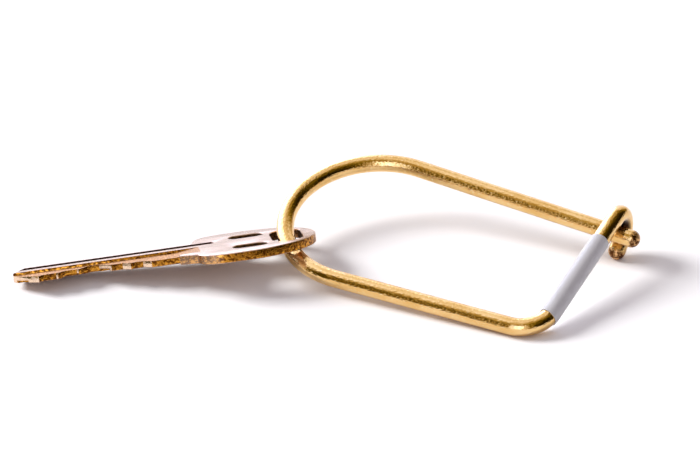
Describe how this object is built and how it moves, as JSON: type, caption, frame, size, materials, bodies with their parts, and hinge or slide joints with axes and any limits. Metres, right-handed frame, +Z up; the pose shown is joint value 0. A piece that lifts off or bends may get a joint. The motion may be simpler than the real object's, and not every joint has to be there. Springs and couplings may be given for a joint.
{
  "type": "key ring with door key",
  "caption": "D-shaped key ring bent from round brass wire, with a hook clasp, a pale sleeve on its straight bar, and a cut brass door key hanging on its arc.",
  "frame": {"origin": "centre of the bounding box seen from above, at the level of the table the part lies on", "axes": "+X along the ring's rods, from the arc with the key towards the straight bar with the clasp; +Y from the near rod towards the far rod; +Z up from the table"},
  "size_m": [0.0972, 0.06, 0.0116],
  "materials": {
    "frame_brass": "polished, fine scratches",
    "arm_brass": "polished, fine scratches",
    "sleeve_enamel": "satin white",
    "key_brass": "brushed, worn edges"
  },
  "bodies": {
    "ring": {"wire_frame": "frame_brass", "bar_sleeve": "sleeve_enamel"},
    "arm": {"wire_arm": "arm_brass"},
    "key": {"key": "key_brass"}
  },
  "joints": [
    {"name": "arm_squeeze", "type": "hinge", "parent": "ring", "child": "arm", "pos_m": [-0.01206, 0.00923, 0.00734], "axis": [-0.0339, 0.2427, -0.9695], "range_deg": [0, 7], "stiffness_Nm_per_rad": 0.5},
    {"name": "key_swing", "type": "hinge", "parent": "ring", "child": "key", "pos_m": [-0.00856, -0.00072, 0.00473], "axis": [0.6165, -0.7585, -0.2114], "range_deg": [-28, 38]}
  ]
}
